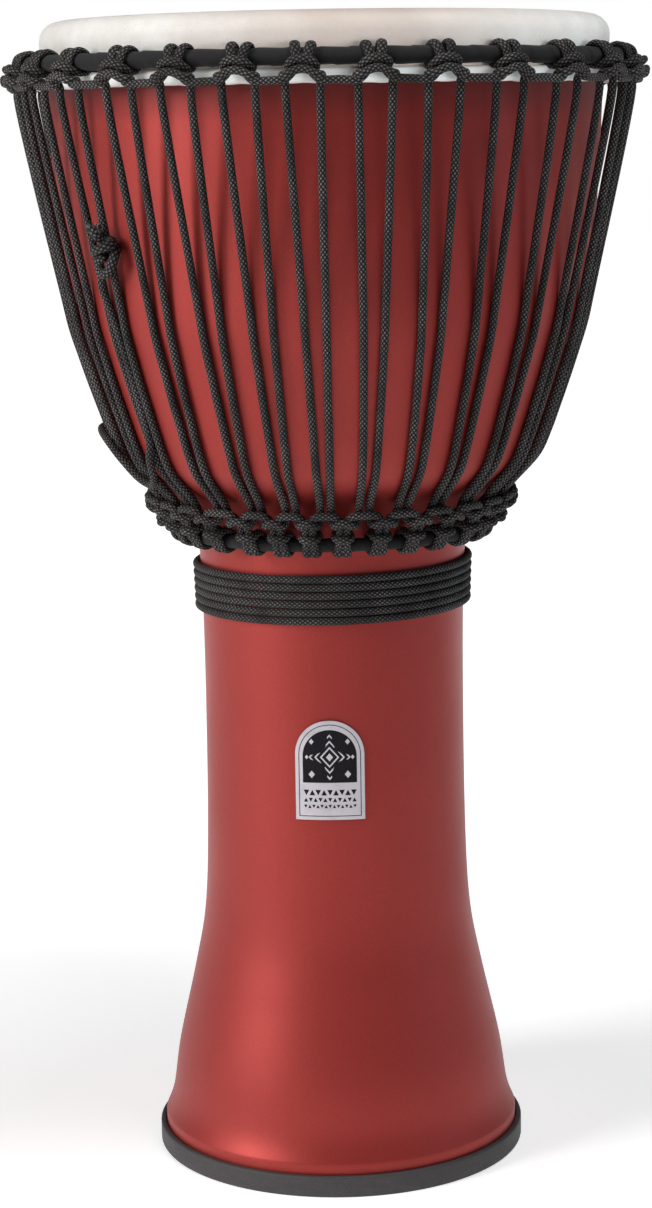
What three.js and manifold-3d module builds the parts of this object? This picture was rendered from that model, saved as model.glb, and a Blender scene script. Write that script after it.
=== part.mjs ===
// Rope-tuned djembe: goblet shell, skin head, two rope cradles on wrapped rings, zig-zag lacing.
// Millimetres, +Z up. The origin is on the floor at the centre of the foot.
// Angles are in degrees round the drum, from the front (-Y) towards the right (+X).
import * as THREE from 'three';
import Module from 'manifold-3d';
import { mergeVertices } from 'three/addons/utils/BufferGeometryUtils.js';

// ---- driving dimensions ----
const HEIGHT = 623;              // floor to the top of the head
const HEAD_RADIUS = 152;         // outside of the skin at the bearing edge
const EDGE_RADIUS = 10.5;        // round of the skin over the bearing edge
const SKIN = 1;                  // thickness of the skin
const GAP = 0.35;                // air between touching pieces
const WALL = 5.5;                // shell wall
const FOOT_LIFT = 3;             // underside of the shell above the floor
const FOOT_RADIUS = 99.3;        // outside of the shell at the floor
const ROUND = 36;                // facets round the drum

const ROPE = 1.75;               // radius of the drawn rope, a little under the real 2.1
const ROPE_SIDES = 4;
const KNOTS = 30;                // cradle knots on each ring
// Hand-tied knots sit a little unevenly: angles of the front ones, crown knot 0 first.
const FRONT_CROWN_KNOTS = [-51.3, -38.1, -26.2, -14.7, -3.7, 8.5, 20.6, 33.5, 47.2, 60.7];
const FRONT_LOWER_KNOTS = [-43.1, -29.2, -17.8, -7.3, 3.6, 16.2, 28.2, 40.4, 53.8];

const CROWN_RING = { radius: 159.9, height: 600.3, core: 2.5, wrap: 4.1 };
const LOWER_RING = { radius: 83.4, height: 351.2, core: 1.9, wrap: 3.4 };
const HOOP = { radius: 154, height: 590.1, wire: 1.4, fold: 2.7 };
const TIE_HEIGHT = 503;          // knot that joins the two ends of the lacing
const TIE_RADIUS = 4.4;
const COIL = { turns: 6, pitch: 4.5, low: 307.2 };
const BADGE = { width: 37.5, height: 54.5, low: 201, thick: 0.7, angle: -2.5 };
const FOOT_RING = { outer: 102.7, inner: 91.2, height: 11.6, base: 2.6, lip: 9 };

// ---- placing ----
const radians = THREE.MathUtils.degToRad;
const at = (angle, radius, height) => new THREE.Vector3(
  radius * Math.sin(radians(angle)), -radius * Math.cos(radians(angle)), height);
const section = (pairs) => pairs.map(([radius, height]) => new THREE.Vector2(radius, height));

function arc(radius, height, size, from, to, steps) {
  const points = [];
  for (let i = 0; i <= steps; i += 1) {
    const turn = radians(from + (to - from) * i / steps);
    points.push([radius + size * Math.cos(turn), height + size * Math.sin(turn)]);
  }
  return points;
}

// Every straight stretch between two stations is one piece of the rope.
class Route extends THREE.Curve {
  constructor(stations, closed) {
    super();
    this.stations = stations;
    this.stretches = closed ? stations.length : stations.length - 1;
  }

  getPoint(t, target = new THREE.Vector3()) {
    const place = t * this.stretches;
    const i = Math.min(Math.floor(place + 1e-9), this.stretches - 1);
    const next = this.stations[(i + 1) % this.stations.length];
    return target.lerpVectors(this.stations[i], next, place - i);
  }

  getPointAt(u, target) {
    return this.getPoint(u, target);
  }

  getTangentAt(u, target) {
    return this.getTangent(u, target);
  }
}

function closedRope(stations, radius, sides) {
  return new THREE.TubeGeometry(new Route(stations, true), stations.length, radius, sides, true);
}

function openRope(stations, radius, sides) {
  const corners = [];
  for (let i = 0; i < sides; i += 1) {
    const turn = 2 * Math.PI * i / sides;
    corners.push(new THREE.Vector2(radius * Math.cos(turn), radius * Math.sin(turn)));
  }
  return new THREE.ExtrudeGeometry(new THREE.Shape(corners), {
    steps: stations.length - 1, bevelEnabled: false, extrudePath: new Route(stations, false) });
}

// A section turned round the drum; the section runs anticlockwise and closes on itself.
function turned(pairs, facets = ROUND) {
  return new THREE.LatheGeometry(section([...pairs, pairs[0]]), facets).rotateX(Math.PI / 2);
}

const RING_SIDES = 6;
function torus({ radius, height }, size) {
  return turned(arc(radius, height, size, 0, 360 - 360 / RING_SIDES, RING_SIDES - 1));
}

// A cloth wrap round a ring, open along its inner side.
function wrap(ring) {
  const half = 180 / RING_SIDES;
  const lining = (ring.core + GAP) / Math.cos(radians(half));
  return turned([
    ...arc(ring.radius, ring.height, ring.wrap, half - 180, 180 - half, RING_SIDES - 1),
    ...arc(ring.radius, ring.height, lining, 180 - half, half - 180, RING_SIDES - 1)]);
}

// ---- shell ----
const EDGE = { radius: HEAD_RADIUS - EDGE_RADIUS, height: HEIGHT - EDGE_RADIUS };
const FACET_AIR = 0.6;           // more air where flat facets cut across a round
const SHELL_EDGE = EDGE_RADIUS - SKIN - FACET_AIR;

const SHELL_OUTLINE = new THREE.SplineCurve(section([
  [FOOT_RADIUS, 17], [94.8, 30], [90.5, 58], [80.8, 101], [74.5, 136], [72.2, 183], [71.6, 260],
  [72.2, 315], [74.2, 350], [78.6, 361.5], [86.5, 369.5], [105.5, 384.5], [114.3, 397], [124.4, 424],
  [133, 450], [139.8, 476], [145.6, 527], [148.3, 582], [149.6, 602]]));

// The outline moved along its own normal: outwards for a positive distance.
function besideOutline(t, distance) {
  const point = SHELL_OUTLINE.getPoint(t);
  const along = SHELL_OUTLINE.getTangent(t);
  return [point.x + along.y * distance, point.y - along.x * distance];
}

function shellSide(distance, steps) {
  return Array.from({ length: steps + 1 }, (_, i) => besideOutline(i / steps, distance));
}

// The same, at the place where the outline reaches a height.
function offShell(height, distance) {
  let [low, high] = [0, 1];
  while (high - low > 1e-6) {
    const middle = (low + high) / 2;
    if (SHELL_OUTLINE.getPoint(middle).y < height) low = middle;
    else high = middle;
  }
  return besideOutline(low, distance);
}

function shellGeometry() {
  const outside = shellSide(0, 23);
  const inside = shellSide(-WALL, 10).reverse();
  return turned([
    [FOOT_RADIUS, FOOT_LIFT], ...outside, ...arc(EDGE.radius, EDGE.height, SHELL_EDGE, 0, 105, 4),
    [EDGE.radius - 6, EDGE.height + 4], [EDGE.radius - 2, EDGE.height - 5],
    ...inside, [FOOT_RADIUS - WALL, FOOT_LIFT]]);
}

// ---- head ----
function drumheadGeometry() {
  const cover = (size) => arc(EDGE.radius, EDGE.height, size, 90, 0, 4);
  const fold = (size) => arc(HOOP.radius, HOOP.height, size, 180, 460, 7);
  const outside = [[0, HEIGHT], ...cover(EDGE_RADIUS), [150.7, 597]];
  const inside = [[0, HEIGHT - SKIN], ...cover(EDGE_RADIUS - SKIN), [149.7, 597]];
  const halfSkin = SKIN / 2;
  const under = [...inside, ...fold(HOOP.fold + halfSkin)];
  const over = [...outside, ...fold(HOOP.fold - halfSkin)];
  const profile = [...under, ...over.reverse()];
  return new THREE.LatheGeometry(section(profile), ROUND).rotateX(Math.PI / 2);
}

// ---- cradle ropes ----
// Eight places round a ring's section: turn 0 is its outer side and 90 its top.
const aroundRing = (ring, turn) => {
  const size = (ring.wrap + FACET_AIR + ROPE) / Math.cos(Math.PI / 8);
  return [ring.radius + size * Math.cos(radians(turn)), ring.height + size * Math.sin(radians(turn))];
};

// The knots behind the front ones share the rest of the way round evenly.
function allKnots(front) {
  const last = front[front.length - 1];
  const step = (front[0] + 360 - last) / (KNOTS - front.length + 1);
  const behind = Array.from({ length: KNOTS - front.length }, (_, i) => last + step * (i + 1));
  return [...front, ...behind];
}

const CROWN_KNOTS = allKnots(FRONT_CROWN_KNOTS);
const LOWER_KNOTS = allKnots(FRONT_LOWER_KNOTS);
const knotAngle = (angles, k) => angles[(k + KNOTS) % KNOTS] + 360 * Math.floor(k / KNOTS);

function everyKnot(angles, stationsOfOne) {
  return angles.flatMap((knot) => stationsOfOne.map(
    ([angle, radius, height]) => at(knot + angle, radius, height)));
}

// The crown rope runs level below the ring and takes one turn round it at each knot.
const CROWN_STRAND = { radius: CROWN_RING.radius + 6.8, height: CROWN_RING.height - 11.4 };
function crownCradleStations() {
  const { radius, height } = CROWN_STRAND;
  const turns = [0, 45, 90, 135, 180, 225, 270].map(
    (turn, i) => [-1.1 + 2.2 * i / 6, ...aroundRing(CROWN_RING, turn)]);
  return everyKnot(CROWN_KNOTS, [
    [-2.3, radius, height], ...turns, [2.3, radius, height]]);
}

// The lower rope mirrors it, with longer legs that follow the belly of the bowl up to its strands.
const LOWER_STRAND = { radius: 99.3, height: 368.4 };
function lowerCradleStations() {
  const { radius, height } = LOWER_STRAND;
  const turns = [0, -45, -90, -135, -180, -225].map(
    (turn, i) => [-1.6 + 3.2 * i / 5, ...aroundRing(LOWER_RING, turn)]);
  return everyKnot(LOWER_KNOTS, [
    [-1.9, radius, height], ...turns, [1.6, 84.8, 361.6], [1.9, radius, height]]);
}

// ---- lacing ----
const LEG_SPREAD_TOP = 3.1;      // a leg's angle from its crown knot
const LEG_SPREAD_LOW = 1.6;      // a leg's angle from the middle of its pair at the bottom
const LEG_TOP = { radius: CROWN_RING.radius + 2.9, height: CROWN_RING.height - 14.3 };
const LEG_LOW = { radius: 96.8, height: 372.2 };
const LEG_OFF_SHELL = ROPE + 1.3;
const BOWL_STATIONS = [470, 425, 392].map((height) => offShell(height, LEG_OFF_SHELL));

// The two legs of a crown knot end halfway between two lower knots.
const legLow = (k, side) => (
  (knotAngle(LOWER_KNOTS, k - 1) + knotAngle(LOWER_KNOTS, k)) / 2 + side * LEG_SPREAD_LOW);

// A leg leans and closes in on its partner evenly, from the crown down to the lower cradle.
function legAngle(k, side, height) {
  const share = (LEG_TOP.height - height) / (LEG_TOP.height - LEG_LOW.height);
  return THREE.MathUtils.lerp(knotAngle(CROWN_KNOTS, k) + side * LEG_SPREAD_TOP, legLow(k, side), share);
}

function leg(k, side) {
  const places = [[LEG_TOP.radius, LEG_TOP.height], ...BOWL_STATIONS, [LEG_LOW.radius, LEG_LOW.height]];
  return places.map(([radius, height]) => at(legAngle(k, side, height), radius, height));
}

// An arch from one leg to the next: the first number of a station is its share of the way from the
// middle out to the leg.
function arch(left, middle, right, half, top) {
  const angle = (end, share) => middle + (end - middle) * share;
  return [
    ...half.map(([share, radius, height]) => at(angle(left, share), radius, height)),
    at(middle, ...top),
    ...half.map(([share, radius, height]) => at(angle(right, share), radius, height)).reverse()];
}

// Behind one strand, over it, across the front of the knot and down behind the next strand.
function crownArch(k) {
  const knot = knotAngle(CROWN_KNOTS, k);
  const half = [
    [1, CROWN_RING.radius + 2.8, CROWN_RING.height - 8.3],
    [1.06, CROWN_RING.radius + 8.6, CROWN_RING.height - 5.7],
    [0.71, CROWN_RING.radius + 11.2, CROWN_RING.height - 7]];
  return arch(knot - LEG_SPREAD_TOP, knot, knot + LEG_SPREAD_TOP, half,
    [CROWN_RING.radius + 11.3, CROWN_RING.height - 7.4]);
}

function lowerArch(k) {
  const half = [[1.02, 93.4, 365.6], [1.04, 99.6, 362.6], [0.5, 102.3, 364]];
  return arch(legLow(k, 1), knotAngle(LOWER_KNOTS, k), legLow(k + 1, -1), half, [102.6, 364.4]);
}

// The right-hand leg of crown knot 0 is cut by the tie knot.
function onTiedLeg(height) {
  const top = new THREE.Vector2(LEG_TOP.radius, LEG_TOP.height);
  const low = new THREE.Vector2(...BOWL_STATIONS[0]);
  const share = (top.y - height) / (top.y - low.y);
  return at(legAngle(0, 1, height), THREE.MathUtils.lerp(top.x, low.x, share), height);
}

const TIE_REACH = 1.5 * TIE_RADIUS + ROPE + GAP;
function lacingStations() {
  const stations = [onTiedLeg(TIE_HEIGHT - TIE_REACH), ...leg(0, 1).slice(1)];
  for (let k = 1; k <= KNOTS; k += 1) {
    stations.push(...lowerArch(k - 1), ...leg(k, -1).reverse(), ...crownArch(k));
    stations.push(...(k < KNOTS ? leg(k, 1) : leg(k, 1).slice(0, 1)));
  }
  stations.push(onTiedLeg(TIE_HEIGHT + TIE_REACH));
  return stations;
}

// ---- tail: the spare end of the lacing ----
// Down from the tie knot between two legs, back across the legs as a weave, then round the stem.
const OVER_LEGS = LEG_OFF_SHELL + 2 * ROPE + 1.2;
const TAIL_DOWN = [[-51.2, 488, 5], [-50.2, 462, 3], [-49.7, 432, 3.2], [-49.5, 410, 4.6]];
const TAIL_WEAVE = [
  [-51, 400], [-53, 391], [-58, 386], [-63, 388], [-68, 396], [-75, 404], [-85, 408], [-95, 408],
  [-105, 407], [-116, 405], [-127, 402], [-137, 398], [-144, 396]];
const TAIL_TO_COIL = [
  [-151, 113, 380], [-154, 109, 364], [-156, 99, 349], [-158, 87, 338], [-162, 79, 333]];
const COIL_START = -170;
const COIL_STEPS = 16;           // stations in one turn

function tailStations() {
  const stations = [
    ...TAIL_DOWN.map(([angle, height, out]) => at(angle, ...offShell(height, out))),
    ...TAIL_WEAVE.map(([angle, height]) => at(angle, ...offShell(height, OVER_LEGS))),
    ...TAIL_TO_COIL.map(([angle, radius, height]) => at(angle, radius, height))];
  const top = COIL.low + COIL.turns * COIL.pitch;
  for (let i = 0; i <= COIL_STEPS * COIL.turns; i += 1) {
    const turn = i / COIL_STEPS;
    const height = top - COIL.pitch * turn;
    const [radius] = offShell(height, ROPE + GAP);
    stations.push(at(COIL_START - 360 * turn, radius / Math.cos(Math.PI / COIL_STEPS), height));
  }
  return stations;
}

// ---- badge ----
const wasm = await Module();
wasm.setup();

function solid(geometry) {
  const bare = geometry.clone();
  bare.deleteAttribute('normal');
  bare.deleteAttribute('uv');
  const merged = mergeVertices(bare, 1e-4);
  return new wasm.Manifold(new wasm.Mesh({
    numProp: 3, vertProperties: new Float32Array(merged.attributes.position.array),
    triVerts: new Uint32Array(merged.index.array) }));
}

function fromSolid(manifold) {
  const mesh = manifold.getMesh();
  const geometry = new THREE.BufferGeometry();
  geometry.setAttribute('position', new THREE.BufferAttribute(mesh.vertProperties, 3));
  geometry.setIndex(new THREE.BufferAttribute(mesh.triVerts, 1));
  return geometry;
}

// An arch-topped plate, bent to the stem: a thin sleeve cut to the plate's outline.
function badgeGeometry() {
  const half = BADGE.width / 2;
  const outline = new THREE.Shape();
  outline.moveTo(-half, 0);
  outline.lineTo(half, 0);
  outline.absarc(0, BADGE.height - half, half, 0, Math.PI, false);
  const prism = new THREE.ExtrudeGeometry(outline, { depth: 120, bevelEnabled: false, curveSegments: 8 })
    .rotateX(Math.PI / 2).translate(0, 0, BADGE.low).rotateZ(radians(BADGE.angle));
  const inner = 72.5;
  const sleeve = turned([
    [inner, BADGE.low - 5], [inner + BADGE.thick, BADGE.low - 5],
    [inner + BADGE.thick, BADGE.low + BADGE.height + 5], [inner, BADGE.low + BADGE.height + 5]], 72);
  return fromSolid(solid(sleeve).intersect(solid(prism)));
}

// ---- foot ring ----
function footRingGeometry() {
  const { outer, inner, height, base, lip } = FOOT_RING;
  const slotOuter = FOOT_RADIUS + GAP;
  const slotInner = FOOT_RADIUS - WALL - GAP;
  return turned([
    [inner, 0], [outer - 0.8, 0], [outer, 0.8], [outer, height - 1], [outer - 1, height],
    [slotOuter, height], [slotOuter, base], [slotInner, base], [slotInner, lip], [inner, lip]]);
}

// ---- assembly ----
const finish = (color, roughness, metalness = 0) => new THREE.MeshStandardMaterial({
  color, roughness, metalness });

const djembe = new THREE.Group();
function add(name, geometry, material) {
  const mesh = new THREE.Mesh(geometry, material);
  mesh.name = name;
  djembe.add(mesh);
  return mesh;
}

add('shell', shellGeometry(), finish(0xb03c36, 0.4, 0.3));
add('drumhead', drumheadGeometry(), finish(0xd9d3c9, 0.6));
add('flesh_hoop', torus(HOOP, HOOP.wire), finish(0x9a9a98, 0.35, 1));
add('crown_ring', torus(CROWN_RING, CROWN_RING.core), finish(0x8d8f92, 0.35, 1));
add('crown_ring_wrap', wrap(CROWN_RING), finish(0x1c1b1c, 0.9));
add('crown_cradle_rope', closedRope(crownCradleStations(), ROPE, ROPE_SIDES), finish(0x2a2826, 0.85));
add('lower_ring', torus(LOWER_RING, LOWER_RING.core), finish(0x8d8f92, 0.35, 1));
add('lower_ring_wrap', wrap(LOWER_RING), finish(0x1c1b1c, 0.9));
add('lower_cradle_rope', closedRope(lowerCradleStations(), ROPE, ROPE_SIDES), finish(0x2a2826, 0.85));
add('lacing_rope', openRope(lacingStations(), ROPE, ROPE_SIDES), finish(0x2a2826, 0.85));
add('tail_rope', openRope(tailStations(), ROPE, ROPE_SIDES), finish(0x2a2826, 0.85));
add('badge', badgeGeometry(), finish(0xc9c9cc, 0.3, 1));
add('foot_ring', footRingGeometry(), finish(0x4a4646, 0.8));

const tieKnot = add('lacing_knot',
  new THREE.TorusKnotGeometry(TIE_RADIUS, ROPE, 30, ROPE_SIDES, 2, 3), finish(0x2a2826, 0.85));
const tiePlace = onTiedLeg(TIE_HEIGHT);
tieKnot.position.copy(tiePlace).multiply(new THREE.Vector3(1.012, 1.012, 1));
tieKnot.rotation.set(Math.PI / 2, 0, radians(legAngle(0, 1, TIE_HEIGHT)), 'ZXY');

export default djembe;
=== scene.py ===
"""Rope-tuned djembe: the looks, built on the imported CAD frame.

Tables are in millimetres and degrees, as in the CAD source; meshes are made in metres. Angles go
round the drum from the front (-Y) towards the right (+X).
"""
import math
import random

import bmesh
import bpy
import numpy as np
from mathutils import Matrix, Vector


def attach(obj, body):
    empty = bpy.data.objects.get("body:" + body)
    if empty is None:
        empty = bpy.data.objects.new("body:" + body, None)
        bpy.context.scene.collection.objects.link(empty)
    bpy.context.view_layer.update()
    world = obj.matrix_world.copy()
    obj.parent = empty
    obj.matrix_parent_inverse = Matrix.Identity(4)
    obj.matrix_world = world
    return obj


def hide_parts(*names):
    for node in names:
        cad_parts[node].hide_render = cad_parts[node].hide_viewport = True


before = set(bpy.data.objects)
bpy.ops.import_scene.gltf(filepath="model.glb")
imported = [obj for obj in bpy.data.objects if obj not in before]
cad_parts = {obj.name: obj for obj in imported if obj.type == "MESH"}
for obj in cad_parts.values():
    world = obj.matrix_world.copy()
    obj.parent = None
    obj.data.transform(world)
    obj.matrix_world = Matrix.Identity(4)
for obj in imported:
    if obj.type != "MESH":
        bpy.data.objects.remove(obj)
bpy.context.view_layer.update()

MM = 0.001
chance = random.Random(11)

# ---- sizes that the CAD source sets ----
HEIGHT = 623
HEAD_RADIUS = 152
EDGE_RADIUS = 10.5
SKIN = 1
WALL = 5.5
FOOT_LIFT = 3
FOOT_RADIUS = 99.3
KNOTS = 30
FRONT_CROWN_KNOTS = [-51.3, -38.1, -26.2, -14.7, -3.7, 8.5, 20.6, 33.5, 47.2, 60.7]
FRONT_LOWER_KNOTS = [-43.1, -29.2, -17.8, -7.3, 3.6, 16.2, 28.2, 40.4, 53.8]
CROWN_RING = (159.9, 600.3)
LOWER_RING = (83.4, 351.2)
TIE_HEIGHT = 503
COIL_TURNS, COIL_PITCH, COIL_LOW, COIL_START = 6, 4.5, 307.2, -170
BADGE_WIDTH, BADGE_HEIGHT, BADGE_LOW, BADGE_ANGLE = 37.5, 54.5, 201, -2.5
BADGE_INNER = 72.5
FOOT_OUTER, FOOT_INNER, FOOT_HEIGHT = 102.7, 91.2, 11.6

SHELL_POINTS = [
    (FOOT_RADIUS, 17), (94.8, 30), (90.5, 58), (80.8, 101), (74.5, 136), (72.2, 183), (71.6, 260),
    (72.2, 315), (74.2, 350), (78.6, 361.5), (86.5, 369.5), (105.5, 384.5), (114.3, 397),
    (124.4, 424), (133, 450), (139.8, 476), (145.6, 527), (148.3, 582), (149.6, 602)]
EDGE = (HEAD_RADIUS - EDGE_RADIUS, HEIGHT - EDGE_RADIUS)
SHELL_EDGE = EDGE_RADIUS - SKIN - 0.6

# ---- sizes of what is only seen ----
FOLD = (154.2, 591.3)            # middle of the skin's fold round its hoop
FOLD_TOP = 594                   # the skin is cleaner and whiter below this
SHADE_LINE_TOP = 597.2                # top of the brown line of painted shade between the fold and the crown ring
ROPE = 2.1                       # radius of the braided rope
SLACK_ROPE = 1.2 * ROPE          # without tension the braid is fuller
BRAID_ROUND, BRAID_PITCH = 6, 2.7                     # strands each way round, length of one
PRESS_IN, PRESS_THIN, PRESS_WIDE = 0.6, 0.3, 0.2      # rope pulled flat over a ring
PRESS_REACH = 3.6                                     # from the ring to where the pull ends
CROWN_TAPE, LOWER_TAPE = 4.0, 3.3                     # radius of each wrapped ring at its lowest
LEG_TOP, LEG_LOW = 584.3, 372.6


# ---- curves ----
def place(angle, radius, height):
    """A point at an angle round the drum, a radius and a height."""
    turn = math.radians(angle)
    return np.array([radius * math.sin(turn), -radius * math.cos(turn), height], float)


def shell_outline(t):
    """Point and tangent of the shell's outside at share t, from foot to bearing edge."""
    last = len(SHELL_POINTS) - 1
    whole = t * last
    i = min(int(whole), last - 1)
    w = whole - i
    p0, p1, p2, p3 = (np.array(SHELL_POINTS[max(0, min(last, k))], float)
                      for k in range(i - 1, i + 3))
    v0, v1 = (p2 - p0) / 2, (p3 - p1) / 2
    a, b = 2 * p1 - 2 * p2 + v0 + v1, -3 * p1 + 3 * p2 - 2 * v0 - v1
    point = ((a * w + b) * w + v0) * w + p1
    tangent = (3 * a * w + 2 * b) * w + v0
    return point, tangent / np.linalg.norm(tangent)


def beside_outline(t, distance):
    """Radius and height at a distance off the outline at share t."""
    point, along = shell_outline(t)
    return (point[0] + along[1] * distance, point[1] - along[0] * distance)


def off_shell(height, distance):
    """Radius and height at a distance off the shell, where its outline reaches a height."""
    low, high = 0.0, 1.0
    while high - low > 1e-6:
        middle = (low + high) / 2
        if shell_outline(middle)[0][1] < height:
            low = middle
        else:
            high = middle
    return beside_outline(low, distance)


def arc(radius, height, size, start, end, steps):
    """Points of a circular arc in a profile, between two angles in degrees."""
    turns = [math.radians(start + (end - start) * i / steps) for i in range(steps + 1)]
    return [(radius + size * math.cos(t), height + size * math.sin(t)) for t in turns]


def smooth_path(stations, closed=False, step=1.3, most=9):
    """Points of a centripetal Catmull-Rom curve through the stations."""
    stations = [np.asarray(s, float) for s in stations]
    count = len(stations)
    points = []
    for i in range(count if closed else count - 1):
        if closed:
            p = [stations[(i + k) % count] for k in (-1, 0, 1, 2)]
        else:
            p = [stations[max(0, min(count - 1, i + k))] for k in (-1, 0, 1, 2)]
            if i == 0:
                p[0] = 2 * p[1] - p[2]
            if i == count - 2:
                p[3] = 2 * p[2] - p[1]
        knots = [0.0]
        for a, b in zip(p, p[1:]):
            knots.append(knots[-1] + max(math.sqrt(float(np.linalg.norm(b - a))), 1e-3))
        t0, t1, t2, t3 = knots
        pieces = max(2, min(most, math.ceil(float(np.linalg.norm(p[2] - p[1])) / step)))
        for j in range(pieces):
            t = t1 + (t2 - t1) * j / pieces
            a1 = (t1 - t) / (t1 - t0) * p[0] + (t - t0) / (t1 - t0) * p[1]
            a2 = (t2 - t) / (t2 - t1) * p[1] + (t - t1) / (t2 - t1) * p[2]
            a3 = (t3 - t) / (t3 - t2) * p[2] + (t - t2) / (t3 - t2) * p[3]
            b1 = (t2 - t) / (t2 - t0) * a1 + (t - t0) / (t2 - t0) * a2
            b2 = (t3 - t) / (t3 - t1) * a2 + (t - t1) / (t3 - t1) * a3
            points.append((t2 - t) / (t2 - t1) * b1 + (t - t1) / (t2 - t1) * b2)
    if not closed:
        points.append(stations[-1])
    return np.array(points)


# ---- meshes ----
def make(name, verts, faces, materials, uvs=None, which=None, sharp=40, replaces=()):
    """A piece from vertices in millimetres, riding on the one body of the drum."""
    mesh = bpy.data.meshes.new(name)
    mesh.from_pydata([tuple(float(c) * MM for c in v) for v in verts], [], faces)
    for material in materials:
        mesh.materials.append(material)
    if uvs is not None:
        layer = mesh.uv_layers.new(name="UVMap")
        layer.data.foreach_set("uv", np.asarray(uvs, np.float32).ravel())
    if which is not None:
        mesh.polygons.foreach_set("material_index", np.asarray(which, np.int32))
    bm = bmesh.new()
    bm.from_mesh(mesh)
    bmesh.ops.recalc_face_normals(bm, faces=bm.faces)
    bm.to_mesh(mesh)
    bm.free()
    mesh.shade_smooth()
    mesh.set_sharp_from_angle(angle=math.radians(sharp))
    piece = bpy.data.objects.new(name, mesh)
    bpy.context.scene.collection.objects.link(piece)
    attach(piece, "root")
    if replaces:
        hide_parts(*replaces)
    return piece


def lathe(profile, segments, moved=None):
    """A closed profile turned round the axis: vertices, faces, UVs and each face's profile index.

    moved(angle, radius, height) may shift a point.
    """
    count = len(profile)
    lengths = [0.0]
    for a, b in zip(profile, profile[1:] + profile[:1]):
        lengths.append(lengths[-1] + math.dist(a, b))
    verts, index = [], {}
    for i, (radius, height) in enumerate(profile):
        if radius < 1e-6:
            verts.append((0, 0, height))
            for s in range(segments):
                index[i, s] = len(verts) - 1
            continue
        for s in range(segments):
            angle = 360 * s / segments
            r, h = moved(angle, radius, height) if moved else (radius, height)
            verts.append(place(angle, r, h))
            index[i, s] = len(verts) - 1
    faces, uvs, rows = [], [], []
    for i in range(count):
        j = (i + 1) % count
        if profile[i][0] < 1e-6 and profile[j][0] < 1e-6:
            continue
        for s in range(segments):
            n = (s + 1) % segments
            corners = [(i, s, lengths[i], s), (i, n, lengths[i], s + 1),
                       (j, n, lengths[i + 1], s + 1), (j, s, lengths[i + 1], s)]
            kept = []
            for row, col, along, turn in corners:
                if not kept or index[row, col] not in [k[0] for k in kept]:
                    kept.append((index[row, col], along, turn))
            faces.append([k[0] for k in kept])
            uvs.extend((k[2] / segments, k[1]) for k in kept)
            rows.append(i)
    return verts, faces, uvs, rows


def tube(points, radius, sides=12, closed=False, radii=None, pressed=None):
    """A tube along points, with u the length along it and v the share of a turn round it.

    pressed gives each point a direction and a share: the section is thin that way, wide across.
    """
    points = np.asarray(points, float)
    count = len(points)
    if closed:
        ahead, behind = np.roll(points, -1, 0), np.roll(points, 1, 0)
    else:
        ahead = np.vstack([points[1:], points[-1:]])
        behind = np.vstack([points[:1], points[:-1]])
    along = ahead - behind
    along /= np.linalg.norm(along, axis=1)[:, None]
    normal = np.cross(along[0], (0.0, 0.0, 1.0))
    if np.linalg.norm(normal) < 0.1:
        normal = np.cross(along[0], (1.0, 0.0, 0.0))
    normals = [normal / np.linalg.norm(normal)]
    for i in range(1, count):
        n = normals[-1] - along[i] * float(np.dot(normals[-1], along[i]))
        normals.append(n / np.linalg.norm(n))
    if closed:
        back = normals[-1] - along[0] * float(np.dot(normals[-1], along[0]))
        back /= np.linalg.norm(back)
        drift = math.atan2(float(np.dot(np.cross(back, normals[0]), along[0])),
                           float(np.dot(back, normals[0])))
        for i in range(count):
            turn = drift * i / count
            side = np.cross(along[i], normals[i])
            normals[i] = normals[i] * math.cos(turn) + side * math.sin(turn)
    lengths = np.concatenate([[0], np.cumsum(np.linalg.norm(np.diff(
        np.vstack([points, points[:1]]) if closed else points, axis=0), axis=1))])
    if closed:
        lengths = lengths * max(1, round(lengths[-1] / BRAID_PITCH)) * BRAID_PITCH / lengths[-1]
    turns = [2 * math.pi * s / sides for s in range(sides)]
    verts = []
    for i in range(count):
        side = np.cross(along[i], normals[i])
        size = radius if radii is None else radii[i]
        for t in turns:
            spoke = size * (math.cos(t) * normals[i] + math.sin(t) * side)
            if pressed is not None:
                direction, share = pressed[i]
                flat = float(np.dot(spoke, direction)) * direction
                spoke = (1 + PRESS_WIDE * share) * (spoke - flat) + (1 - PRESS_THIN * share) * flat
            verts.append(points[i] + spoke)
    faces, uvs = [], []
    for i in range(count if closed else count - 1):
        j = (i + 1) % count
        for s in range(sides):
            n = (s + 1) % sides
            faces.append([i * sides + s, i * sides + n, j * sides + n, j * sides + s])
            for row, turn in ((i, s), (i, s + 1), (i + 1, s + 1), (i + 1, s)):
                uvs.append((lengths[row], turn / sides))
    if not closed:
        for row, order in ((0, range(sides)), (count - 1, reversed(range(sides)))):
            faces.append([row * sides + s for s in order])
            uvs.extend((lengths[row], s / sides) for s in faces[-1])
    return verts, faces, uvs


def press_onto(points, ring, size):
    """Rope lying on a ring is pulled flat: its path moves in, its section is thin and wide."""
    moved, pressed = [], []
    for point in points:
        outward = np.array([point[0], point[1], 0.0])
        radius = np.linalg.norm(outward)
        away = outward / radius * (radius - ring[0]) + np.array([0, 0, point[2] - ring[1]])
        distance = np.linalg.norm(away)
        share = min(1.0, max(0.0, size + PRESS_REACH - distance))
        moved.append(point - away / distance * PRESS_IN * share)
        pressed.append((away / distance, share))
    return np.array(moved), pressed


def together(parts):
    """Several (vertices, faces, UVs) as one."""
    verts, faces, uvs = [], [], []
    for v, f, u in parts:
        start = len(verts)
        verts.extend(v)
        faces.extend([[start + k for k in face] for face in f])
        uvs.extend(u)
    return verts, faces, uvs


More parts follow.
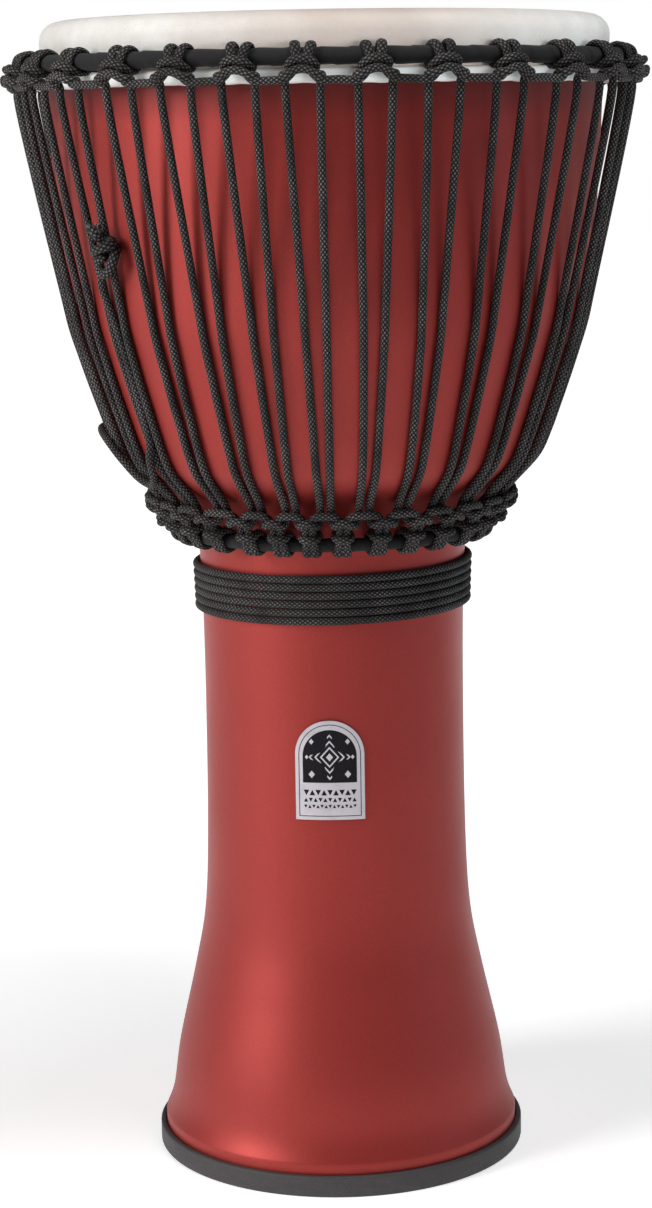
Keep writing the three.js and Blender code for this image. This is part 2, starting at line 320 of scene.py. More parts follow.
def rounded_end(points, radius, length, start=False):
    """Radii that close a tube in a soft point at one or both ends."""
    points = np.asarray(points)
    steps = np.linalg.norm(np.diff(points, axis=0), axis=1)
    to_end = np.concatenate([np.cumsum(steps[::-1])[::-1], [0]])
    sizes = [radius * math.sqrt(max(0.04, 1 - max(0, 1 - d / length) ** 2)) for d in to_end]
    if start:
        from_start = np.concatenate([[0], np.cumsum(steps)])
        sizes = [min(s, radius * math.sqrt(max(0.04, 1 - max(0, 1 - d / length) ** 2)))
                 for s, d in zip(sizes, from_start)]
    return sizes


# ---- materials ----
def set_range(node, *numbers):
    """Set a map range node: from low and high, to low and high."""
    for key, number in zip(("From Min", "From Max", "To Min", "To Max"), numbers):
        node.inputs[key].default_value = number


class Nodes:
    """Shorthand for building one material's node tree."""

    def __init__(self, name):
        self.material = bpy.data.materials.new(name)
        self.material.use_nodes = True
        self.tree = self.material.node_tree
        self.tree.nodes.clear()
        self.shader = self.add("ShaderNodeBsdfPrincipled")
        out = self.add("ShaderNodeOutputMaterial")
        self.link(self.shader.outputs[0], out.inputs[0])

    def add(self, kind, **settings):
        node = self.tree.nodes.new(kind)
        for key, value in settings.items():
            setattr(node, key, value)
        return node

    def link(self, a, b):
        self.tree.links.new(a, b)

    def feed(self, socket, value):
        if isinstance(value, bpy.types.NodeSocket):
            self.link(value, socket)
        elif value is not None:
            socket.default_value = value

    def set(self, **values):
        for key, value in values.items():
            self.feed(self.shader.inputs[key.replace("_", " ")], value)

    def math(self, operation, a, b=None, c=None, clamp=False):
        node = self.add("ShaderNodeMath", operation=operation, use_clamp=clamp)
        for socket, value in zip(node.inputs, (a, b, c)):
            self.feed(socket, value)
        return node.outputs[0]

    def coords(self, scale=None):
        node = self.add("ShaderNodeTexCoord")
        if scale is None:
            return node.outputs["Object"]
        mapping = self.add("ShaderNodeMapping")
        self.link(node.outputs["Object"], mapping.inputs["Vector"])
        mapping.inputs["Scale"].default_value = scale
        return mapping.outputs[0]

    def axis(self, index):
        """One coordinate of the surface point, in metres."""
        split = self.add("ShaderNodeSeparateXYZ")
        self.link(self.coords(), split.inputs[0])
        return split.outputs[index]

    def noise(self, scale, vector=None, detail=2.0, roughness=0.5):
        node = self.add("ShaderNodeTexNoise")
        self.link(vector if vector is not None else self.coords(), node.inputs["Vector"])
        node.inputs["Scale"].default_value = scale
        node.inputs["Detail"].default_value = detail
        node.inputs["Roughness"].default_value = roughness
        return node.outputs[0]

    def ramp(self, value, low, high, to_low=0.0, to_high=1.0):
        node = self.add("ShaderNodeMapRange")
        self.feed(node.inputs["Value"], value)
        set_range(node, low, high, to_low, to_high)
        return node.outputs[0]

    def blend(self, share, a, b):
        node = self.add("ShaderNodeMix", data_type="RGBA", blend_type="MIX")
        self.feed(node.inputs[0], share)
        self.feed(node.inputs[6], a)
        self.feed(node.inputs[7], b)
        return node.outputs[2]

    def bump(self, height, distance, strength=1.0, under=None):
        node = self.add("ShaderNodeBump")
        self.link(height, node.inputs["Height"])
        node.inputs["Distance"].default_value = distance
        node.inputs["Strength"].default_value = strength
        if under is not None:
            self.link(under, node.inputs["Normal"])
        return node.outputs[0]


def colour(red, green, blue):
    """A display colour, 0 to 255, as the linear colour that a shader takes."""
    return tuple((c / 255 / 12.92) if c < 10.3 else ((c / 255 + 0.055) / 1.055) ** 2.4
                 for c in (red, green, blue)) + (1.0,)


def paint_material():
    """Satin metallic red, with painted shade darkening it just under the skin's fold."""
    m = Nodes("shell_paint")
    flakes = m.noise(2600, detail=1.0)
    cloud = m.noise(14, detail=3.0)
    peel = m.noise(420, detail=2.0)
    base = m.blend(m.ramp(flakes, 0.35, 0.7), colour(154, 44, 38), colour(179, 54, 46))
    base = m.blend(m.ramp(cloud, 0.35, 0.7, 0.0, 0.25), base, colour(146, 37, 32))
    # Painted shade: the paint turns darker towards the top, under the skin's fold and the crown
    # ring.
    shade_under_fold = m.ramp(m.axis(2), 570 * MM, 587 * MM, 0.0, 0.6)
    base = m.blend(shade_under_fold, base, colour(70, 20, 18))
    m.set(Base_Color=base, Metallic=0.6, Specular_IOR_Level=0.5)
    m.set(Roughness=m.ramp(cloud, 0.3, 0.7, 0.45, 0.54), Coat_Weight=0.32, Coat_Roughness=0.5)
    m.set(Normal=m.bump(flakes, 0.00002, 0.25, m.bump(peel, 0.00006, 0.25)))
    return m.material


def inside_material():
    """The shell's bare moulded inside."""
    m = Nodes("shell_inside")
    grain = m.noise(900, detail=4.0)
    cloud = m.noise(30, detail=3.0)
    base = m.blend(cloud, colour(58, 50, 46), colour(86, 76, 70))
    m.set(Base_Color=base, Roughness=m.ramp(grain, 0.2, 0.8, 0.75, 0.95))
    m.set(Normal=m.bump(grain, 0.0004, 0.5))
    return m.material


def skin_material():
    """Off-white skin with a browner spine band, veins and pores, clean and white on its fold, with
    a brown line of painted shade under the crown ring.
    """
    m = Nodes("goat_skin")
    mottle = m.noise(38, detail=5.0, roughness=0.6)
    pores = m.noise(1500, detail=2.0)
    veins = m.noise(9, detail=6.0, roughness=0.65)
    above_fold = m.ramp(m.axis(2), FOLD_TOP * MM, 600 * MM)
    base = m.blend(m.ramp(mottle, 0.3, 0.72), colour(237, 234, 230), colour(218, 213, 207))
    base = m.blend(above_fold, colour(250, 249, 246), base)
    side = m.math("ABSOLUTE", m.math("ADD", m.axis(0), m.math("MULTIPLY_ADD", veins, 0.06, -0.05)))
    spine = m.math("MULTIPLY", m.ramp(side, 0.11, 0.02, 0.0, 0.9), above_fold)
    base = m.blend(spine, base, m.blend(mottle, colour(200, 185, 176), colour(182, 166, 155)))
    base = m.blend(m.ramp(veins, 0.5, 0.62, 0.0, 0.3), base, colour(204, 195, 186))
    # Painted shade: a brown line on the skin just under the crown ring, above the fold.
    from_above = m.ramp(m.axis(2), SHADE_LINE_TOP * MM, (SHADE_LINE_TOP - 1.4) * MM)
    from_below = m.ramp(m.axis(2), (FOLD_TOP + 0.4) * MM, (FOLD_TOP + 1.2) * MM)
    stain_and_shade_mark = m.math("MULTIPLY", m.math("MULTIPLY", from_above, from_below), 0.5)
    base = m.blend(stain_and_shade_mark, base, colour(150, 104, 66))
    base = m.blend(m.ramp(pores, 0.62, 0.75, 0.0, 0.4), base, colour(150, 134, 118))
    m.set(Base_Color=base, Roughness=m.ramp(mottle, 0.3, 0.7, 0.5, 0.68), Subsurface_Weight=0.08,
          Subsurface_Scale=0.003)
    m.set(Normal=m.bump(pores, 0.00008, 0.5, m.bump(mottle, 0.0006, 0.3)))
    return m.material


def rope_material():
    """Two families of strands that cross over and under each other round the rope, their crests
    paler with fibre colour and painted highlight.
    """
    m = Nodes("braided_rope")
    uv = m.add("ShaderNodeUVMap", uv_map="UVMap")
    split = m.add("ShaderNodeSeparateXYZ")
    m.link(uv.outputs[0], split.inputs[0])
    along = m.math("DIVIDE", split.outputs[0], BRAID_PITCH)
    around = m.math("MULTIPLY", split.outputs[1], BRAID_ROUND)
    a, b = m.math("ADD", around, along), m.math("SUBTRACT", around, along)
    in_a, in_b = m.math("FRACT", a), m.math("FRACT", b)
    cell = m.math("ADD", m.math("FLOOR", a), m.math("FLOOR", b))
    odd = m.math("FRACT", m.math("MULTIPLY", cell, 0.5))
    top = m.math("GREATER_THAN", odd, 0.25)
    hump_a = m.math("SINE", m.math("MULTIPLY", in_a, math.pi))
    hump_b = m.math("SINE", m.math("MULTIPLY", in_b, math.pi))
    across = m.add("ShaderNodeMix", data_type="FLOAT")
    m.link(top, across.inputs[0])
    m.link(hump_a, across.inputs[2])
    m.link(hump_b, across.inputs[3])
    length = m.add("ShaderNodeMix", data_type="FLOAT")
    m.link(top, length.inputs[0])
    m.link(hump_b, length.inputs[2])
    m.link(hump_a, length.inputs[3])
    height = m.math("MULTIPLY", across.outputs[0], m.math("POWER", length.outputs[0], 0.6))
    fibre = m.noise(5200, detail=2.0)
    wear_and_highlight_patches = m.noise(60, detail=3.0)
    # The strands' crests are painted paler: partly the braid's lighter fibres, partly painted
    # highlight where the crests bulge out.
    crest = m.math("POWER", height, 3.0)
    lit = m.math("MULTIPLY", crest, m.ramp(wear_and_highlight_patches, 0.3, 0.7, 0.35, 0.95))
    lit = m.math("MULTIPLY", lit, m.ramp(fibre, 0.3, 0.7, 0.4, 1.4), clamp=True)
    base = m.blend(lit, colour(13, 12, 13), colour(152, 145, 143))
    m.set(Base_Color=base, Roughness=0.7, Specular_IOR_Level=0.25)
    m.set(Normal=m.bump(fibre, 0.00008, 0.4, m.bump(height, 0.0005, 0.8)))
    return m.material


def fray_material(name, low, high):
    """Loose filaments between two display colours."""
    m = Nodes(name)
    fibre = m.noise(3000, detail=2.0)
    m.set(Base_Color=m.blend(fibre, colour(*low), colour(*high)), Roughness=0.6)
    m.set(Normal=m.bump(fibre, 0.00005, 0.4))
    return m.material


def cloth_material():
    """Plain black woven tape, in the wrap's own UVs in millimetres."""
    m = Nodes("wrap_cloth")
    uv = m.add("ShaderNodeUVMap", uv_map="UVMap")
    split = m.add("ShaderNodeSeparateXYZ")
    m.link(uv.outputs[0], split.inputs[0])
    warp = m.math("SINE", m.math("MULTIPLY", split.outputs[0], 2 * math.pi / 0.9))
    weft = m.math("SINE", m.math("MULTIPLY", split.outputs[1], 2 * math.pi / 0.9))
    weave = m.math("MULTIPLY", warp, weft)
    lint = m.noise(2600, detail=3.0)
    fade = m.noise(45, detail=3.0)
    base = m.blend(m.ramp(weave, -1.0, 1.0), colour(8, 7, 8), colour(27, 25, 26))
    base = m.blend(m.ramp(fade, 0.35, 0.75, 0.0, 0.4), base, colour(34, 31, 34))
    base = m.blend(m.ramp(lint, 0.66, 0.74, 0.0, 0.3), base, colour(90, 86, 84))
    m.set(Base_Color=base, Roughness=0.85, Sheen_Weight=0.06, Sheen_Roughness=0.45)
    m.set(Normal=m.bump(weave, 0.00012, 0.7, m.bump(fade, 0.0006, 0.3)))
    return m.material


def steel_material():
    """The hidden rods, brushed along their length."""
    m = Nodes("ring_steel")
    brushed = m.noise(400, m.coords(scale=(1, 1, 14)), detail=2.0)
    m.set(Base_Color=m.blend(brushed, colour(120, 122, 125), colour(160, 162, 166)), Metallic=1.0)
    m.set(Roughness=m.ramp(brushed, 0.3, 0.7, 0.28, 0.42), Normal=m.bump(brushed, 0.00004, 0.3))
    return m.material


def plate_material():
    """Satin silver plate with faint stains."""
    m = Nodes("badge_plate")
    brushed = m.noise(260, m.coords(scale=(1, 1, 30)), detail=3.0)
    stain_and_shade_mark = m.noise(120, detail=3.0)
    base = m.blend(brushed, colour(196, 190, 196), colour(232, 226, 232))
    base = m.blend(m.ramp(stain_and_shade_mark, 0.55, 0.75, 0.0, 0.3), base, colour(170, 160, 168))
    m.set(Base_Color=base, Metallic=0.75, Roughness=m.ramp(brushed, 0.3, 0.7, 0.36, 0.5))
    m.set(Normal=m.bump(brushed, 0.00003, 0.3))
    return m.material


def print_material():
    """Matt black ink on the plate."""
    m = Nodes("badge_print")
    speck = m.noise(1400, detail=3.0)
    m.set(Base_Color=m.blend(m.ramp(speck, 0.45, 0.8), colour(12, 10, 13), colour(36, 31, 38)))
    m.set(Roughness=m.ramp(speck, 0.3, 0.7, 0.5, 0.65), Specular_IOR_Level=0.2,
          Normal=m.bump(speck, 0.00002, 0.3))
    return m.material


def rubber_material():
    """Dark rubber, scuffed lighter in streaks."""
    m = Nodes("foot_rubber")
    grain = m.noise(1300, detail=3.0)
    scuff = m.noise(55, m.coords(scale=(1, 1, 4)), detail=4.0)
    base = m.blend(m.ramp(grain, 0.3, 0.7), colour(54, 50, 51), colour(70, 66, 67))
    base = m.blend(m.ramp(scuff, 0.55, 0.75, 0.0, 0.3), base, colour(92, 86, 85))
    m.set(Base_Color=base, Roughness=m.ramp(scuff, 0.3, 0.7, 0.55, 0.72))
    m.set(Normal=m.bump(grain, 0.0001, 0.4))
    return m.material


def floor_material():
    """A pale matt floor that turns into the white backdrop a little way off."""
    m = Nodes("studio_floor")
    grain = m.noise(300, detail=2.0)
    m.set(Base_Color=m.blend(grain, (0.84, 0.84, 0.84, 1), (0.88, 0.88, 0.88, 1)), Roughness=0.9,
          Specular_IOR_Level=0.1, Emission_Color=(1, 1, 1, 1))
    behind = m.ramp(m.axis(1), 0.3, 1.3, FLOOR_GLOW, 1.0)
    x_squared, y_squared = (m.math("POWER", m.axis(i), 2.0) for i in (0, 1))
    away = m.math("SQRT", m.math("ADD", x_squared, y_squared))
    seen = m.add("ShaderNodeMix", data_type="FLOAT")
    m.link(m.add("ShaderNodeLightPath").outputs["Is Camera Ray"], seen.inputs[0])
    m.link(behind, seen.inputs[2])
    m.link(m.ramp(away, 0.2, 1.0, 0.5, 1.0), seen.inputs[3])
    m.set(Emission_Strength=seen.outputs[0])
    return m.material


PAINT, INSIDE, GOAT = paint_material(), inside_material(), skin_material()
BRAID, TAPE = rope_material(), cloth_material()
FRAY = fray_material("light_fibre", (150, 146, 140), (205, 202, 198))
DARK_FRAY = fray_material("dark_fibre", (34, 30, 30), (70, 66, 64))
STEEL, PLATE = steel_material(), plate_material()
PRINT, RUBBER = print_material(), rubber_material()

# ---- shell ----
OUTSIDE_STEPS, INSIDE_STEPS = 150, 90
PAINTED_EDGE = 5                 # steps of the bearing edge's curve that have the paint
foot_end = [(FOOT_RADIUS - 0.6, FOOT_LIFT), (FOOT_RADIUS, FOOT_LIFT + 0.6), (FOOT_RADIUS, 9),
            (FOOT_RADIUS, 14)]
outside = [beside_outline(i / OUTSIDE_STEPS, 0) for i in range(OUTSIDE_STEPS + 1)]
inside = [beside_outline(i / INSIDE_STEPS, -WALL) for i in range(INSIDE_STEPS, -1, -1)]
shell_profile = [
    *foot_end, *outside, *arc(*EDGE, SHELL_EDGE, 0, 105, 12), (EDGE[0] - 6, EDGE[1] + 4),
    (EDGE[0] - 2, EDGE[1] - 5), *inside, (FOOT_RADIUS - WALL, FOOT_LIFT)]
verts, faces, uvs, rows = lathe(shell_profile, segments=240)
bare = len(foot_end) + len(outside) + PAINTED_EDGE
which = [0 if row < bare else 1 for row in rows]
make("painted_shell", verts, faces, [PAINT, INSIDE], uvs, which, sharp=35,
     replaces=["shell"])

# ---- skin ----
waves = [(n, chance.uniform(0, 360), chance.uniform(0.4, 1)) for n in (3, 7, 13, 22, 37, 61, 90)]


def wave(angle):
    """A gentle wave round the drum, mostly within -1 and 1."""
    return sum(size * math.sin(math.radians(n * angle + phase)) for n, phase, size in waves) / 2.6


def skin_profile():
    """A strip of skin: across the top, over the edge, down the side, round the flesh hoop."""
    half = SKIN / 2
    middle = [(0, HEIGHT - half)] + [(r, HEIGHT - half) for r in (30, 60, 90, 115, 130)]
    middle += arc(*EDGE, EDGE_RADIUS - half, 90, 0, 12)
    middle += [(151.2, 605), (150.7, 600), (150.4, 596.4), (150.6, 592)]
    radius, height = FOLD
    wide, tall, corner = 2.9, 3.3, 1.6
    middle += arc(radius - wide + corner, height - tall + corner, corner, 180, 270, 4)
    middle += arc(radius + wide - corner, height - tall + corner, corner, 270, 360, 4)
    middle += [(radius + wide, height)]
    middle += arc(radius + wide - corner, height + tall - corner, corner, 0, 90, 4)
    middle += [(radius - 0.5, height + tall - 0.1), (radius - 1.9, height + tall - 0.6)]
    outer, inner = [], []
    for i, point in enumerate(middle):
        before = np.array(middle[max(0, i - 1)])
        after = np.array(middle[min(len(middle) - 1, i + 1)])
        along = (after - before) / np.linalg.norm(after - before)
        sideways = np.array([-along[1], along[0]]) * half
        outer.append(tuple(np.array(point) + sideways))
        inner.append(tuple(np.array(point) - sideways))
    outer[0], inner[0] = (0, HEIGHT), (0, HEIGHT - SKIN)
    return outer + inner[::-1]


BAND_TOP = 597                   # the folded band is all below this
PULL_HEIGHT = 603                # where the crown ring pulls the skin into faint hollows


def uneven(angle, radius, height):
    """The folded band is a little wavy at its lower edge, and the side has faint hollows."""
    if height < BAND_TOP:
        low = max(0.0, (592 - height) / 6)
        return radius + 0.18 * wave(angle + 40), height + 0.45 * low * wave(angle)
    pulled = max(0.0, 1 - abs(height - PULL_HEIGHT) / 8) if radius > 145 else 0.0
    return radius + 0.3 * pulled * wave(angle + 80), height


verts, faces, uvs, _ = lathe(skin_profile(), segments=360, moved=uneven)
head = make("goatskin_head", verts, faces, [GOAT], uvs, sharp=50,
            replaces=["drumhead"])

# ---- foot ring ----
CORNER = 1.3                     # radius of the rubber's upper corner
foot_profile = [
    (FOOT_INNER + 0.6, 0), *arc(FOOT_OUTER - 1, 1, 1, -90, 0, 4),
    *arc(FOOT_OUTER - CORNER, FOOT_HEIGHT - CORNER, CORNER, 0, 90, 6),
    *arc(FOOT_RADIUS + 0.9, FOOT_HEIGHT - 0.5, 0.5, 90, 180, 3),
    (FOOT_RADIUS + 0.35, 2.6), (FOOT_RADIUS - WALL - 0.35, 2.6),
    *arc(FOOT_RADIUS - WALL - 0.95, 8.4, 0.6, 0, 90, 3),
    *arc(FOOT_INNER + 0.6, 8.4, 0.6, 90, 180, 3), (FOOT_INNER, 0.6)]
verts, faces, uvs, _ = lathe(foot_profile, segments=240)
make("rubber_foot_ring", verts, faces, [RUBBER], uvs, replaces=["foot_ring"])


# ---- wrapped rings ----
TAPE_THICK = 0.55                # height of a lap
TAPE_RISE, LAP_RISE = 0.5, 0.1   # height of the step onto the next lap, its share of a lap


def wrapped_ring(name, ring, size, turns, node):
    """Cloth tape wound round a ring, each turn lapping a little over the one before."""
    radius, height = ring
    steps, sides = 720, 20
    lumps = [(n, chance.uniform(0, 6.28), chance.uniform(0.3, 1)) for n in (5, 11, 19, 31, 47)]
    verts, faces, uvs = [], [], []
    for i in range(steps):
        angle = 2 * math.pi * i / steps
        lump = sum(a * math.sin(n * angle + p) for n, p, a in lumps) / 3
        for s in range(sides):
            turn = 2 * math.pi * s / sides
            lap = (angle * turns / (2 * math.pi) + s / sides + 0.06 * lump) % 1
            edge = TAPE_THICK * (1 - lap) if lap > LAP_RISE else TAPE_RISE * lap / LAP_RISE
            r = size + edge + 0.12 * lump
            outward, up = r * math.cos(turn), r * math.sin(turn)
            verts.append(place(math.degrees(angle), radius + outward, height + up))
    for i in range(steps):
        j = (i + 1) % steps
        for s in range(sides):
            n = (s + 1) % sides
            faces.append([i * sides + s, i * sides + n, j * sides + n, j * sides + s])
            long = 2 * math.pi * radius / steps
            wide = 2 * math.pi * size / sides
            for row, col in ((i, s), (i, s + 1), (i + 1, s + 1), (i + 1, s)):
                uvs.append((row * long + col * wide * 0.5, col * wide))
    return make(name, verts, faces, [TAPE], uvs, sharp=60, replaces=[node])


wrapped_ring("crown_ring_tape", CROWN_RING, CROWN_TAPE, 66, "crown_ring_wrap")
wrapped_ring("lower_ring_tape", LOWER_RING, LOWER_TAPE, 38, "lower_ring_wrap")
for node in ("crown_ring", "lower_ring", "flesh_hoop"):
    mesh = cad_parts[node].data
    mesh.materials.clear()
    mesh.materials.append(STEEL)


# ---- knots round the rings ----
def rope_piece(name, node, shape):
    """A length of the braided rope that stands for one node."""
    verts, faces, uvs = shape
    make(name, verts, faces, [BRAID], uvs, sharp=80, replaces=[node])


def all_knots(front, uneven_by):
    """The knots behind the front ones share the rest of the way round, a little unevenly."""
    step = (front[0] + 360 - front[-1]) / (KNOTS - len(front) + 1)
    behind = [front[-1] + step * (i + 1) + chance.uniform(-uneven_by, uneven_by)
              for i in range(KNOTS - len(front))]
    return front + behind


crown_angles = all_knots(FRONT_CROWN_KNOTS, 0.7)
lower_angles = all_knots(FRONT_LOWER_KNOTS, 0.5)
PER_DEGREE = math.radians(1) * CROWN_RING[0]


def knot_angle_of(angles, k):
    """Angle of knot k, counting on past the last one."""
    return angles[k % KNOTS] + 360 * (k // KNOTS)


# sideways, outwards and upwards from the ring's middle
CROWN_KNOT = [
    (-9.6, 8.0, -11.3), (-7.4, 7.9, -10.6), (-4.4, 7.0, -7.4), (-2.6, 6.6, -2.6), (-2.6, 6.3, 0.6),
    (-3.5, 4.6, 4.7), (-3.9, 0, 6.6), (-4.0, -4.7, 4.5), (-4.2, -6.4, -0.5), (-4.8, -3.9, -5.1),
    (-5.7, 1.4, -6.3), (-6.2, 5.8, -4.6), (-5.2, 8.6, -2.9), (-2.8, 9.9, -1.7), (0, 10.3, -1.3)]
# angle, radius and height
LOWER_KNOT = [
    (-3.0, 100, 368.5), (-1.9, 98.8, 367.2), (-1.25, 96.6, 364.6), (-1.1, 93.6, 360.5),
    (-1.1, 91, 355.8), (-1.15, 89, 351), (-1.4, 87.5, 347.2), (-1.6, 83.4, 345.6),
    (-1.9, 79, 347.6), (-2.1, 77.6, 351.5), (-2.3, 79.6, 355.6), (-2.3, 83.8, 357.5),
    (-2.55, 88, 357.5), (-2.6, 91.3, 356.2), (-1.6, 94.3, 355.6), (0, 94.9, 355.5)]
# middles of the level strands between two knots
CROWN_STRAND, LOWER_STRAND = (0, 7.6, -11.4), (100.6, 368.9)


def whole_knot(half):
    """A knot's points, from the half that ends in its middle."""
    return half + [(-s, a, b) for s, a, b in reversed(half[:-1])]


def crown_place(angle, sideways, outwards, up):
    return place(angle + sideways / PER_DEGREE, CROWN_RING[0] + outwards, CROWN_RING[1] + up)


def between(angles, k):
    """Angle midway between knot k and the next."""
    return (knot_angle_of(angles, k) + knot_angle_of(angles, k + 1)) / 2


stations = []
for k, angle in enumerate(crown_angles):
    tilt = chance.uniform(-0.4, 0.4)         # each knot leans a little
    stations += [crown_place(angle, s, out, up + tilt * s / 9)
                 for s, out, up in whole_knot(CROWN_KNOT)]
    stations.append(crown_place(between(crown_angles, k), *CROWN_STRAND))
points, pressed = press_onto(smooth_path(stations, True), CROWN_RING, CROWN_TAPE)
shape = tube(points, ROPE, closed=True, pressed=pressed)
rope_piece("crown_cradle_braid", "crown_cradle_rope", shape)

stations = []
for k, angle in enumerate(lower_angles):
    stations += [place(angle + s, r, h) for s, r, h in whole_knot(LOWER_KNOT)]
    stations.append(place(between(lower_angles, k), *LOWER_STRAND))
points, pressed = press_onto(smooth_path(stations, True), LOWER_RING, LOWER_TAPE)
shape = tube(points, ROPE, closed=True, pressed=pressed)
rope_piece("lower_cradle_braid", "lower_cradle_rope", shape)

# ---- lacing ----
CROWN_ARCH = [
    (-8.2, 4.4, -16), (-8.3, 4.2, -12.4), (-9.0, 5.8, -9.4), (-8.6, 9.4, -9.0), (-6.6, 11.0, -8.6),
    (-3.4, 11.3, -6.9), (0, 11.4, -6.2)]
# share of the way from the knot to the leg, radius and height
LOWER_ARCH = [
    (1.0, 97.6, 372.6), (0.98, 95, 367.5), (0.86, 95.6, 364.2), (0.63, 98.6, 363.4),
    (0.3, 100.4, 364.6)]
ARCH_MIDDLE = (100.8, 365.2)
LEG_HEIGHTS = [476, 462, 447, 432, 417, 404, 392]
LEG_OUT = ROPE + 0.15            # middle of a leg off the shell
LEG_SIDE = 8.2 / PER_DEGREE      # degrees from a crown knot's middle to its legs
LEG_SPREAD_LOW = 1.6


def leg_low(k, side):
    """Angle where crown knot k's left (-1) or right (1) leg meets the lower cradle."""
    return between(lower_angles, k - 1) + side * LEG_SPREAD_LOW


def leg_angle(k, side, height):
    """Angle of that leg at a height."""
    top = knot_angle_of(crown_angles, k) + side * LEG_SIDE
    return top + (leg_low(k, side) - top) * (LEG_TOP - height) / (LEG_TOP - LEG_LOW)


def leg(k, side):
    """One leg of the lacing from a crown knot down to the lower cradle."""
    return [place(leg_angle(k, side, height), *off_shell(height, LEG_OUT))
            for height in LEG_HEIGHTS]


def lower_arch(k):
    """The lacing's way from one crown knot's right leg to the next one's left leg."""
    middle = lower_angles[k]
    down, up = ([place(middle + (end - middle) * share, r, h) for share, r, h in LOWER_ARCH]
                for end in (leg_low(k, 1), leg_low(k + 1, -1)))
    return down + [place(middle, *ARCH_MIDDLE)] + up[::-1]


stations = []
for k in range(KNOTS):
    stations += leg(k, -1)[::-1]
    stations += [crown_place(crown_angles[k], *spot) for spot in whole_knot(CROWN_ARCH)]
    stations += leg(k, 1) + lower_arch(k)
rope_piece("lacing_braid", "lacing_rope", tube(smooth_path(stations, True), ROPE, closed=True))

# ---- tail ----
OVER_LEGS = 3 * ROPE + 0.2
COIL_OUT = ROPE + 0.1            # middle of the coil's rope off the shell
# angle, height and distance off the shell
TAIL_DOWN = [
    (-49.4, 499, 6.4), (-50.4, 493, 7.6), (-50.9, 487, 6.6), (-50.8, 477, 4.0), (-50.4, 462, 2.4),
    (-49.9, 440, 2.6), (-49.6, 420, 3.6), (-49.6, 408, 4.8)]
# angle and height
TAIL_WEAVE = [
    (-51, 400), (-53, 391), (-58, 386), (-63, 388), (-68, 396), (-75, 404), (-85, 408), (-95, 408),
    (-105, 407), (-116, 405), (-127, 402), (-137, 398), (-144, 396)]
# angle, radius and height
TAIL_TO_COIL = [
    (-151, 113, 380), (-154, 109, 364), (-156, 99, 349), (-158, 87, 338), (-162, 79, 333)]
stations = [place(angle, *off_shell(height, out)) for angle, height, out in TAIL_DOWN]
stations += [place(angle, *off_shell(height, OVER_LEGS)) for angle, height in TAIL_WEAVE]
stations += [place(*spot) for spot in TAIL_TO_COIL]
coil_top = COIL_LOW + COIL_TURNS * COIL_PITCH
TURN_POINTS = 16
for i in range(TURN_POINTS * COIL_TURNS + 1):
    height = coil_top - COIL_PITCH * i / TURN_POINTS
    stations.append(place(COIL_START - 360 * i / TURN_POINTS, *off_shell(height, COIL_OUT)))
# angle, height and distance off the shell
TUCK = [
    (-176, 307.6, 2.6), (-180, 311, 4.9), (-181.5, 318, 6.5), (-180.5, 326, 6.5), (-177, 334, 6.0),
    (-171, 340, 3.6), (-164, 345, 2.3), (-157, 349, 2.3)]
stations += [place(angle - 360 * COIL_TURNS, *off_shell(height, out))
             for angle, height, out in TUCK]
points = smooth_path(stations, step=1.6, most=14)
shape = tube(points, ROPE, radii=rounded_end(points, ROPE, 1.6, start=True))
rope_piece("tail_braid", "tail_rope", shape)

# ---- tie knot ----
knot_angle = leg_angle(0, 1, TIE_HEIGHT)
KNOT_OUT, KNOT_DEPTH = 149.8, 0.8          # radius of the knot's middle, how flat it is pulled
knot_middle = place(knot_angle, KNOT_OUT, TIE_HEIGHT)
rightwards = place(knot_angle + 90, 1, 0)
outwards = place(knot_angle, 1, 0)
upwards = place(knot_angle, 0.2, 1)
upwards /= np.linalg.norm(upwards)


def knot_place(side, out, up):
    """A point by its distances from the tie knot's middle."""
    return knot_middle + side * rightwards + KNOT_DEPTH * out * outwards + up * upwards


# The rope's end: out of the knot's front, round the back of both strands, over its own start.
TIE_TURNS = [
    (1.6, 1.4, 0.2), (-0.6, 3.6, 0.0), (-2.8, 4.4, -2.0), (-3.4, 4.4, -4.8), (-1.8, 5.0, -7.4),
    (1.4, 5.4, -8.4), (4.8, 4.6, -6.0), (6.8, 2.8, -1.8), (7.0, -0.2, 2.4), (4.6, -3.9, 4.6),
    (-0.4, -5.0, 4.4), (-4.6, -3.0, 3.8), (-6.0, 1.2, 3.4), (-4.4, 5.4, 3.4), (-0.2, 7.6, 4.2),
    (4.4, 6.2, 5.6), (6.6, 2.0, 6.8), (4.8, -1.6, 8.2), (1.6, -2.4, 9.0), (-0.8, -0.2, 9.8),
    (-2.0, 2.0, 11.6), (-2.4, 3.0, 13.8), (-2.6, 3.4, 16.0)]
points = smooth_path([knot_place(*spot) for spot in TIE_TURNS], most=8)
sizes = rounded_end(points, SLACK_ROPE, 1.5, start=True)
swollen = len(points) - 12       # the melted end is fuller
sizes = [size if i < swollen else max(size, SLACK_ROPE * 0.85) * (1 + 0.035 * (i - swollen))
         for i, size in enumerate(sizes)]
rope_piece("tie_knot_braid", "lacing_knot", tube(points, SLACK_ROPE, radii=sizes))


